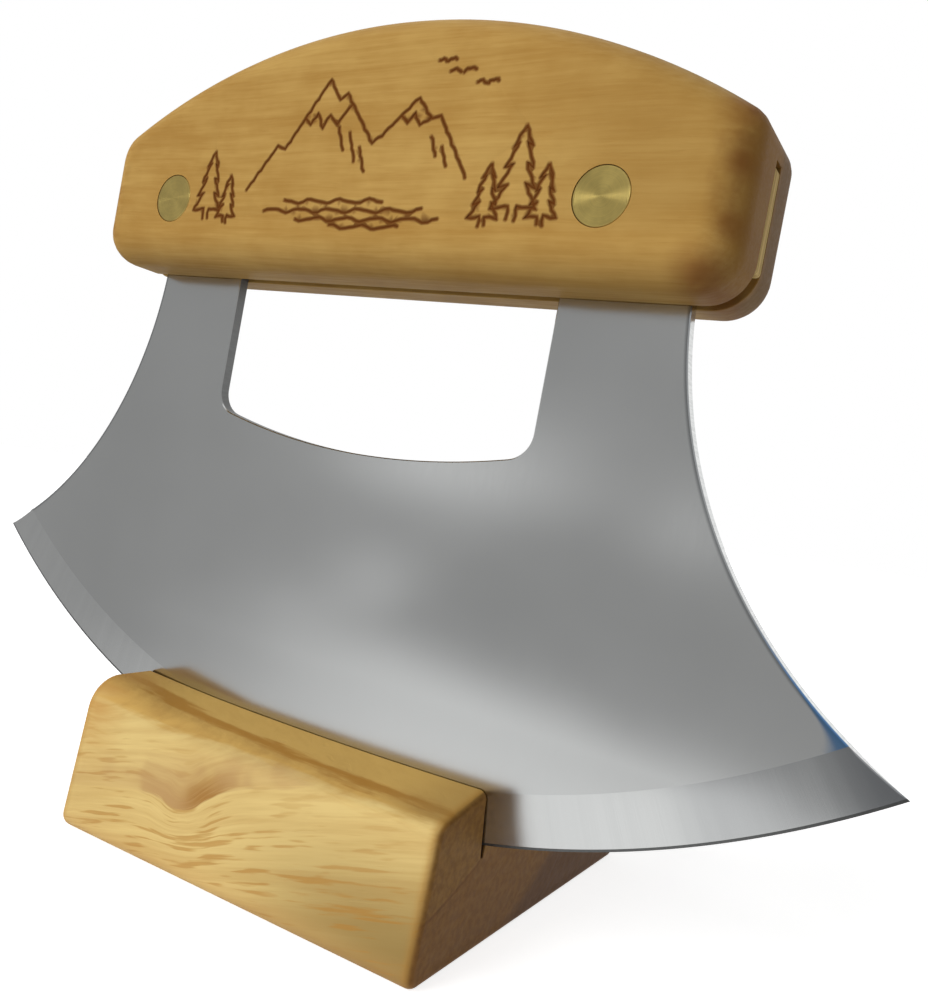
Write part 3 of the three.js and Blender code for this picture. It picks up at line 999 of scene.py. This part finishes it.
def burned_strokes(lines):
    """The line drawing: a ridge with snow, firs on both sides, ripples below and birds above.

    Places are in millimetres from the middle of the handle, at the height of the rivets.
    """
    ridge = [(-22.5, 1.2), (-17.2, 8.2), (-15.6, 7.6), (-8.6, 18), (-6.2, 14.8), (-4.8, 15.6), (1.4, 8),
             (3, 9), (8.6, 14.2), (11.4, 11), (12.8, 11.5), (18.8, 2.6)]
    snow = [(-12.4, 12.3), (-11.2, 11.2), (-10, 13), (-8.7, 10.6), (-7.6, 12.6), (-6, 11), (-3.6, 14)]
    far_snow = [(6, 11.8), (7.2, 10.6), (8.3, 12), (9.5, 10.2), (11.2, 11.2)]
    strokes = [ridge, snow, far_snow]
    slope = 0.42
    for x, z, drop in ((-5.4, 10.6, 3.4), (-3.2, 9.8, 4.4), (-0.8, 7.4, 3.6), (11.9, 8.6, 3), (14, 7, 2.8)):
        strokes.append([(x, z), (x + slope * drop, z - drop)])
    firs = ((-31, -3.4, 11), (-26.4, -4, 7.6), (22.6, -4, 8.4), (27, -3.2, 12.6), (31.4, -3.8, 8))
    for x, foot, height in firs:
        strokes += fir(x, foot, height)
    for z, left, right in ((-0.6, -14, 6), (-2, -18, 13), (-3.3, -11, 16), (-4.4, -4, 9)):
        strokes.append([(x, z + 0.28 * math.sin(1.1 * x + 3 * z)) for x in np.arange(left, right, 0.8)])
    for x, z, span in ((15.2, 17.2, 2.6), (19.6, 15.4, 2.2), (12.4, 19, 1.8)):
        for sign in (-1, 1):
            strokes.append(arc((x + sign * span / 2, z - span * 0.3), span * 0.55,
                               QUARTER - sign * 0.6, QUARTER + sign * 0.9, 6))
    return [by_hand(stroke, i, lines.wobble / MM) for i, stroke in enumerate(strokes)]


def fir(x, foot, height):
    """A fir of four drooping tiers and a short trunk."""
    tiers = 4
    sides = []
    for sign in (-1, 1):
        side = [(x, foot + height)]
        for tier in range(1, tiers + 1):
            z = foot + height * (1 - 0.88 * tier / tiers)
            side.append((x + sign * height * (0.06 + 0.055 * tier), z))
            if tier < tiers:
                side.append((x + sign * height * (0.02 + 0.03 * tier), z + height * 0.045))
        trunk = x + sign * height * 0.05
        sides.append(side + [(trunk, foot + height * 0.15), (trunk, foot)])
    return sides


def by_hand(stroke, seed, wobble):
    """A stroke in short steps that stray a little from the straight line, in metres."""
    step = 0.7
    steps = []
    for a, b in zip(stroke, stroke[1:]):
        count = max(1, round(math.dist(a, b) / step))
        steps += [(a[0] + (b[0] - a[0]) * i / count, a[1] + (b[1] - a[1]) * i / count) for i in range(count)]
    steps.append(stroke[-1])
    return [((x + wobble * math.sin(2.3 * i + 5 * seed)) * MM,
             (z + wobble * math.sin(1.7 * i + 3 * seed)) * MM) for i, (x, z) in enumerate(steps)]


def ribbon(stroke, half):
    """The closed edge of a stroke of some width."""
    run = np.array(stroke)
    left = left_of(np.gradient(run, axis=0)) * half
    loop = [tuple(p) for p in run + left] + [tuple(p) for p in (run - left)[::-1]]
    return loop + loop[:1]


def line_gaps(points, strokes):
    """Distance from each point to the nearest stroke."""
    nearest = np.full(len(points), np.inf)
    for stroke in strokes:
        run = np.array(stroke)
        a = run[:-1]
        step = run[1:] - a
        away = points[:, None] - a
        share = np.clip((away * step).sum(2) / (step ** 2).sum(1), 0, 1)
        gaps = np.linalg.norm(away - share[:, :, None] * step, axis=2)
        nearest = np.minimum(nearest, gaps.min(1))
    return nearest


def guard_dots(strokes, reach):
    """Places just outside the browned wood, which keep the browning from spreading over long triangles."""
    turns = np.arange(16) * math.pi / 8
    ring = reach * np.stack([np.cos(turns), np.sin(turns)], 1)
    dots = np.concatenate([(np.array(stroke)[:, None] + ring).reshape(-1, 2) for stroke in strokes])
    return dots[line_gaps(dots, strokes) > 0.97 * reach].tolist()


def face_fill(shell, y, outline, holes, strokes, lines):
    """A flat face with holes, in which the strokes are sunk and browned."""
    half = lines.width / 2
    reach = half + lines.scorch
    kept = [list(stroke) for stroke in strokes] + [ribbon(stroke, half) for stroke in strokes]
    points, faces, _ = filled([outline, *holes], kept, guard_dots(strokes, reach) if strokes else ())
    gaps = line_gaps(points, strokes)
    sunk = lines.depth * np.clip(1 - gaps / half, 0, 1)
    burn = np.interp(gaps, [0, half, 0.96 * reach], [1, 0.85, 0])
    inward = -math.copysign(1, y)
    numbers = shell.add(np.stack([points[:, 0], y + inward * sunk, points[:, 1]], 1), burn)
    for face in faces:
        shell.face([numbers[i] for i in face])


# Handle

def handle_loop(size, inset):
    """The handle's outline in X and Z, drawn in by an inset.

    It runs from the top of the kerf in the right end over the crown to the left end, then down and back
    along the underside. The second value is how many points lie above the kerf.
    """
    end_x = HANDLE_END - inset
    shoulder_z = HANDLE_LOW.z + size.end_height
    crown_z = shoulder_z - math.sqrt(size.top_radius ** 2 - HANDLE_END ** 2)
    crown = size.top_radius - inset
    corner = size.shoulder_corner + size.shoulder_sanding * inset
    corner_x = end_x - corner
    corner_z = crown_z + math.sqrt((crown - corner) ** 2 - corner_x ** 2)
    turn = math.atan2(corner_z - crown_z, corner_x)
    low = HANDLE_END - size.lower_corner
    above = [(end_x, shoulder_z - size.kerf_roof - inset)]
    above += arc((corner_x, corner_z), corner, 0, turn, 8)
    above += arc((0, crown_z), crown, turn, QUARTER, 32)[1:]
    above += mirrored(above)[1:]
    below = arc((low, HANDLE_LOW.z + size.lower_corner), size.lower_corner - inset, -QUARTER, 0, 12)
    return above + mirrored(below) + below, len(above)


def build_handle(size, finishes, lines, rivets):
    """Two rounded halves on both sides of the kerf, joined above it, with stepped rivet holes."""
    shell = Shell()
    half = HANDLE_HIGH.y
    kerf = size.kerf_width / 2
    seat = half - rivets.head_thickness - size.hole_gap
    bore = rivets.tube_diameter / 2 + size.hole_gap
    heads, bores = ([circle(side * PIN_MIDDLE_X, 0, radius, 48) for side in SIDES.values()]
                    for radius in (HEAD_RADIUS + size.hole_gap, bore))
    strokes = burned_strokes(lines)
    outline, above = handle_loop(size, 0)
    eased = handle_loop(size, size.kerf_ease)[0]
    wall = eased[above - 1:] + eased[:1]
    mids = {}
    walls = {}
    for sign in (-1, 1):
        rings = []
        for a in round_steps(10):
            loop = handle_loop(size, size.round_over * (1 - math.sin(a)))[0]
            y = sign * (half - size.round_over * (1 - math.cos(a)))
            rings.append(shell.add([(x, y, z) for x, z in loop]))
        rings.append(shell.add([(x, sign * (kerf + size.kerf_ease), z) for x, z in outline]))
        shell.strips(rings)
        mids[sign] = rings[-1]
        walls[sign] = shell.add([(x, sign * kerf, z) for x, z in wall])
        shell.strip(mids[sign][above - 1:] + mids[sign][:1], walls[sign], closed=False)

        flat = handle_loop(size, size.round_over)[0]
        face_fill(shell, sign * half, flat, heads, strokes if sign < 0 else [], lines)
        face_fill(shell, sign * kerf, wall, bores, [], lines)
        for wide, narrow in zip(heads, bores):
            levels = [(wide, half), (wide, seat), (narrow, seat), (narrow, kerf)]
            shell.strips([shell.add([(x, sign * y, z) for x, z in ring]) for ring, y in levels])

    shell.strip(mids[-1][:above], mids[1][:above], closed=False)
    shell.face([mids[-1][0], walls[-1][-1], walls[-1][0], mids[-1][above - 1],
                mids[1][above - 1], walls[1][0], walls[1][-1], mids[1][0]])
    return shell.piece("handle_grip", [handle_wood(finishes)], KNIFE, "burn", math.radians(40))


def build_strip(side, size, finishes):
    """A thin strip with rounded outer corners that fills one end of the kerf."""
    low, high = knife_box(f"{side}_kerf_strip")
    ease = size.strip_ease
    corner = size.strip_corner
    inner = min(abs(low.x), abs(high.x))
    top = high.z + size.strip_rise
    bottom = low.z - size.strip_drop

    def ring(inset):
        tip = arc((HANDLE_END - corner, top - corner), corner - inset, 0, QUARTER, 6)
        foot = arc((HANDLE_END - corner, bottom + corner), corner - inset, -QUARTER, 0, 6)
        heel = [(inner + inset, top - inset), (inner + inset, bottom + inset)]
        return [(SIDES[side] * x, z) for x, z in foot + tip + heel]

    shell = Shell()
    rings = []
    for y, inset in ((low.y, ease), (low.y + ease, 0), (high.y - ease, 0), (high.y, ease)):
        rings.append(shell.add([(x, y, z) for x, z in ring(inset)]))
    shell.strips(rings, smooth=False)
    shell.face(rings[0])
    shell.face(rings[-1])
    return shell.piece(f"{side}_strip", [strip_wood(finishes)], KNIFE)


# Rivets

def turned_tree():
    """A tree that turns a profile of radius and depth round its axis, and sets it at both rivet places.

    Gives the tree and, for each of its named inputs, the identifier of the socket.
    """
    tree = bpy.data.node_groups.new("Turned rivets", "GeometryNodeTree")
    kinds = {"Geometry": "Geometry", "Profile points": "Int", "Segments": "Int", "Spacing": "Float",
             "Metal": "Material"}
    keys = {}
    for label, kind in kinds.items():
        socket = tree.interface.new_socket(label, in_out="INPUT", socket_type="NodeSocket" + kind)
        keys[label] = socket.identifier
    tree.interface.new_socket("Geometry", in_out="OUTPUT", socket_type="NodeSocketGeometry")
    made = Nodes(tree)
    given = made.node("NodeGroupInput").outputs
    segments = Number(made, given["Segments"])
    rows = segments + 1
    grid = made.node("GeometryNodeMeshGrid", {"Vertices X": given["Profile points"], "Vertices Y": rows})
    index = Number(made, made.node("GeometryNodeInputIndex").outputs[0])
    place = made.node("GeometryNodeInputPosition").outputs[0]
    sample = made.node("GeometryNodeSampleIndex", {
        "Geometry": given["Geometry"], "Value": place, "Index": made.math("FLOOR", index / rows)},
        data_type="FLOAT_VECTOR", domain="POINT")
    radius, depth, _ = made.split(sample.outputs[0])
    turn = index % rows / segments * (2 * math.pi)
    across = radius * made.math("COSINE", turn)
    up = radius * made.math("SINE", turn)
    moved = made.node("GeometryNodeSetPosition", {
        "Geometry": grid.outputs["Mesh"], "Position": made.join(X=across, Y=depth, Z=up)})
    seam = 0.001 * MM
    whole = made.node("GeometryNodeMergeByDistance", {"Geometry": moved.outputs[0], "Distance": seam})
    offset = made.join(X=given["Spacing"])
    pair = made.node("GeometryNodeMeshLine", {
        "Count": 2, "Start Location": made.scaled(offset, -0.5), "Offset": offset})
    copies = made.node("GeometryNodeInstanceOnPoints", {
        "Points": pair.outputs[0], "Instance": whole.outputs[0]})
    real = made.node("GeometryNodeRealizeInstances", {"Geometry": copies.outputs[0]})
    metal = made.node("GeometryNodeSetMaterial", {"Geometry": real.outputs[0], "Material": given["Metal"]})
    made.node("NodeGroupOutput", {0: metal.outputs[0]})
    return tree, keys


def head_profile(size, front):
    """A rivet head from its middle to the underside of its rim, as radius and depth."""
    chamfer = size.head_chamfer
    dish = [(HEAD_RADIUS * share, front + size.head_crown * (1 - share ** 2))
            for share in np.linspace(0, 0.9, 10)]
    return dish + [(HEAD_RADIUS - chamfer, front), (HEAD_RADIUS - chamfer * 0.3, front + chamfer * 0.3),
                   (HEAD_RADIUS, front + chamfer), (HEAD_RADIUS, front + size.head_thickness)]


def build_rivets(size, finishes):
    """Both pins and both tubes, turned from their profiles."""
    tree, keys = turned_tree()
    metal = turned_metal(finishes)
    pin = size.pin_diameter / 2
    tube = size.tube_diameter / 2
    bore = pin + size.pin_gap
    under = TUBE_HIGH.y - size.head_thickness
    profiles = {
        "rivet_pins": head_profile(size, PIN_LOW.y)
        + [(pin, PIN_LOW.y + size.head_thickness), (pin, PIN_HIGH.y - size.head_chamfer),
           (pin - size.head_chamfer, PIN_HIGH.y), (0, PIN_HIGH.y)],
        "rivet_tubes": [(r, -y) for r, y in head_profile(size, -TUBE_HIGH.y)]
        + [(tube, under), (tube, TUBE_LOW.y), (bore, TUBE_LOW.y), (bore, under), (0, under)],
    }
    pieces = []
    for name, profile in profiles.items():
        line = bpy.data.meshes.new(name)
        line.from_pydata([(r, y, 0) for r, y in profile], [], [])
        source = placed(name + "_profile", line)
        modifier = source.modifiers.new("Turned rivets", "NODES")
        modifier.node_group = tree
        values = {"Profile points": len(profile), "Segments": size.segments,
                  "Spacing": 2 * PIN_MIDDLE_X, "Metal": metal}
        for label, value in values.items():
            modifier[keys[label]] = value
        bpy.context.view_layer.update()
        mesh = bpy.data.meshes.new_from_object(source.evaluated_get(bpy.context.evaluated_depsgraph_get()))
        bpy.data.objects.remove(source)
        mesh.name = name
        mesh.transform(KNIFE)
        close(mesh)
        mesh.shade_smooth()
        mesh.set_sharp_from_angle(angle=math.radians(30))
        pieces.append(placed(name, mesh))
    return pieces


# Stage

TABLE_HALF = 6
CARD_RADIUS = 1.2
CARD_LIFT = 2 * MM
CARD_HEIGHT = 1.8
CARD_TURNS = (-205, -25)
TABLE_CARD = ((-1.2, 0.3), (-1.2, -1.2), (1.1, -1.2), (1.1, 0.3))
LAMP_RADIUS = 1.1
LAMP_LEVELS = (0.46, 0.56)
LAMP_TURNS = (-98, -90)
# Where the clouds are seen from, and their azimuth, climb, width and height in degrees, and strength
CLOUD_MIDDLE = (0.02, 0, 0.058)
CLOUDS = ((-121.5, 2.5, 13, 5, 0.8), (-105, 0.5, 6, 5, 0.4),
          (-127, -9, 5, 6, 0.5), (-134, -12.5, 10, 5, 0.18))


def pale_table(stage):
    """A pale table that stays white to the eye and in the steel, and keeps the shadow."""
    look = Look("pale table")
    matt = look.node("BsdfDiffuse", {"Color": (stage.table_level,) * 3}).outputs[0]
    glow = look.glow(look.seen() * stage.table_glow)
    return look.end(look.node("AddShader", {0: matt, 1: glow}).outputs[0])


def cloudy_card(stage):
    """A grey card, white where the table before the stand catches the light, with a few pale clouds."""
    look = Look("cloudy card")
    places = look.places()
    x, y, z = look.split(places)
    haze = look.noise(places, (9, 9, 9)) - 0.5
    slant = x - y * 0.5 + haze * 0.05
    rise = slant.band(-0.17, 0.03)
    close_by = y - x * 0.4
    pool = rise * rise * slant.band(0.12, 0.09) * close_by.band(-0.134, -0.082)
    pool = pool * look.math("LESS_THAN", z, 0.01)
    level = pool * (1.0 - stage.card_level) + stage.card_level

    toward = look.vector("NORMALIZE", look.vector("SUBTRACT", places, CLOUD_MIDDLE))
    for azimuth, climb, wide, tall, strength in CLOUDS:
        turn = math.radians(azimuth)
        lift = math.radians(climb)
        centre = Vector((math.cos(lift) * math.cos(turn), math.cos(lift) * math.sin(turn), math.sin(lift)))
        squeeze = Vector((1, 1, wide / tall))
        cloud = look.spot(look.vector("MULTIPLY", toward, squeeze), centre * squeeze, math.radians(wide))
        level = level + cloud * (haze * 1.5 + 1.0) * strength
    return look.end(look.glow(level))


def lamp_card(stage):
    """The even light of a small lamp."""
    look = Look("lamp card")
    return look.end(look.glow(stage.lamp_level))


def light_room(stage):
    """A white room to the eye and in the steel, and a dim one as a source of light."""
    world = bpy.data.worlds.new("white room")
    bpy.context.scene.world = world
    world.use_nodes = True
    room = Nodes(world.node_tree)
    level = room.seen() * (1.0 - stage.room_level) + stage.room_level
    background = room.node("Background", {"Color": (1, 1, 1), "Strength": level})
    room.node("OutputWorld", {"Surface": background.outputs[0]})


def around(radius, turns, levels):
    """Points on a round wall: a row along the turns, in degrees, at each level."""
    return [(radius * math.cos(math.radians(a)), radius * math.sin(math.radians(a)), z)
            for z in levels for a in turns]


def set_out(name, points, faces, material):
    mesh = bpy.data.meshes.new(name)
    mesh.from_pydata(points, [], faces)
    mesh.materials.append(material)
    made = placed(name, mesh)
    return made


def hang_card(name, points, faces, material):
    """A card that shows only as a mirror image in the metal, and throws no shadow."""
    card = set_out(name, points, faces, material)
    card.visible_camera = False
    card.visible_diffuse = False
    card.visible_shadow = False


def build_stage(stage):
    """Camera, key light, room, table, and the cards that the metal mirrors."""
    scene = bpy.context.scene
    scene.view_settings.view_transform = "Standard"

    camera = bpy.data.objects.new("camera", bpy.data.cameras.new("camera"))
    camera.data.lens = stage.lens
    camera.data.clip_start = 10 * MM
    camera.location = stage.camera_place
    camera.rotation_euler = Euler(stage.camera_turn, "XYZ")
    scene.collection.objects.link(camera)
    scene.camera = camera

    key = bpy.data.objects.new("key light", bpy.data.lights.new("key light", "SUN"))
    key.data.energy = stage.key_strength
    key.data.angle = stage.key_spread
    key.rotation_euler = Euler(stage.key_turn, "XYZ")
    key.visible_glossy = False
    scene.collection.objects.link(key)
    light_room(stage)

    quad = [(0, 1, 2, 3)]
    corners = [(x * TABLE_HALF, y * TABLE_HALF, 0) for x, y in ((-1, -1), (1, -1), (1, 1), (-1, 1))]
    set_out("table", corners, quad, pale_table(stage))

    clouds = cloudy_card(stage)
    turns = np.linspace(*CARD_TURNS, 40)
    count = len(turns)
    bend = [(i, i + 1, count + i + 1, count + i) for i in range(count - 1)]
    hang_card("wall_card", around(CARD_RADIUS, turns, (CARD_LIFT, CARD_HEIGHT)), bend, clouds)
    hang_card("table_card", [(x, y, CARD_LIFT) for x, y in TABLE_CARD], quad, clouds)
    hang_card("lamp_card", around(LAMP_RADIUS, LAMP_TURNS, LAMP_LEVELS), [(0, 1, 3, 2)], lamp_card(stage))


# Operators, panel and main

class ULU_OT_stand(bpy.types.Operator):
    """Builds the wooden stand with its slot"""
    bl_idname = "ulu.stand"
    bl_label = "Stand"

    def execute(self, context):
        scene = context.scene
        settle(build_stand(scene.ulu_stand, scene.ulu_finishes), STAND_BODY, "stand_wood", "stand")
        return {"FINISHED"}


class ULU_OT_blade(bpy.types.Operator):
    """Builds the steel blade with its window, tangs and ground edge"""
    bl_idname = "ulu.blade"
    bl_label = "Blade"

    def execute(self, context):
        scene = context.scene
        hole = scene.ulu_rivets.tube_diameter / 2 + scene.ulu_handle.hole_gap
        settle(build_blade(scene.ulu_blade, scene.ulu_finishes, hole), KNIFE_BODY, "blade_steel", "blade")
        return {"FINISHED"}


class ULU_OT_handle(bpy.types.Operator):
    """Builds the wooden handle with its kerf, rivet holes and burned lines"""
    bl_idname = "ulu.handle"
    bl_label = "Handle"

    def execute(self, context):
        scene = context.scene
        made = build_handle(scene.ulu_handle, scene.ulu_finishes, scene.ulu_lines, scene.ulu_rivets)
        settle(made, KNIFE_BODY, "handle_wood", "handle")
        return {"FINISHED"}


class ULU_OT_strips(bpy.types.Operator):
    """Builds the strips that close the ends of the kerf"""
    bl_idname = "ulu.strips"
    bl_label = "Kerf strips"

    def execute(self, context):
        scene = context.scene
        for side in SIDES:
            made = build_strip(side, scene.ulu_handle, scene.ulu_finishes)
            settle(made, KNIFE_BODY, "strip_wood", f"{side}_kerf_strip")
        return {"FINISHED"}


class ULU_OT_rivets(bpy.types.Operator):
    """Builds the pins and tubes of the two rivets"""
    bl_idname = "ulu.rivets"
    bl_label = "Rivets"

    def execute(self, context):
        scene = context.scene
        for made, part in zip(build_rivets(scene.ulu_rivets, scene.ulu_finishes), ("pin", "tube")):
            settle(made, KNIFE_BODY, "rivet_brass", *(f"{side}_rivet_{part}" for side in SIDES))
        return {"FINISHED"}


class ULU_OT_stage(bpy.types.Operator):
    """Sets the camera, light, table and cards"""
    bl_idname = "ulu.stage"
    bl_label = "Stage"

    def execute(self, context):
        build_stage(context.scene.ulu_stage)
        return {"FINISHED"}


OPERATORS = (ULU_OT_stand, ULU_OT_blade, ULU_OT_handle, ULU_OT_strips, ULU_OT_rivets, ULU_OT_stage)


class ULU_PT_panel(bpy.types.Panel):
    """Lists the pieces of the ulu knife"""
    bl_idname = "ULU_PT_panel"
    bl_label = "Ulu knife"
    bl_space_type = "VIEW_3D"
    bl_region_type = "UI"
    bl_category = "Ulu knife"

    def draw(self, context):
        for operator in OPERATORS:
            self.layout.operator(operator.bl_idname)
        for key, group in SETTINGS.items():
            box = self.layout.box()
            box.label(text=group.__doc__)
            for name in group.__annotations__:
                box.prop(getattr(context.scene, key), name)


CLASSES = (*SETTINGS.values(), *OPERATORS, ULU_PT_panel)


def register():
    for item in CLASSES:
        bpy.utils.register_class(item)
    for key, group in SETTINGS.items():
        setattr(bpy.types.Scene, key, PointerProperty(type=group))


def unregister():
    for key in SETTINGS:
        delattr(bpy.types.Scene, key)
    for item in reversed(CLASSES):
        bpy.utils.unregister_class(item)


def main():
    register()
    bpy.ops.ulu.stage()
    bpy.ops.ulu.stand()
    bpy.ops.ulu.blade()
    bpy.ops.ulu.handle()
    bpy.ops.ulu.strips()
    bpy.ops.ulu.rivets()


if __name__ == "__main__":
    main()
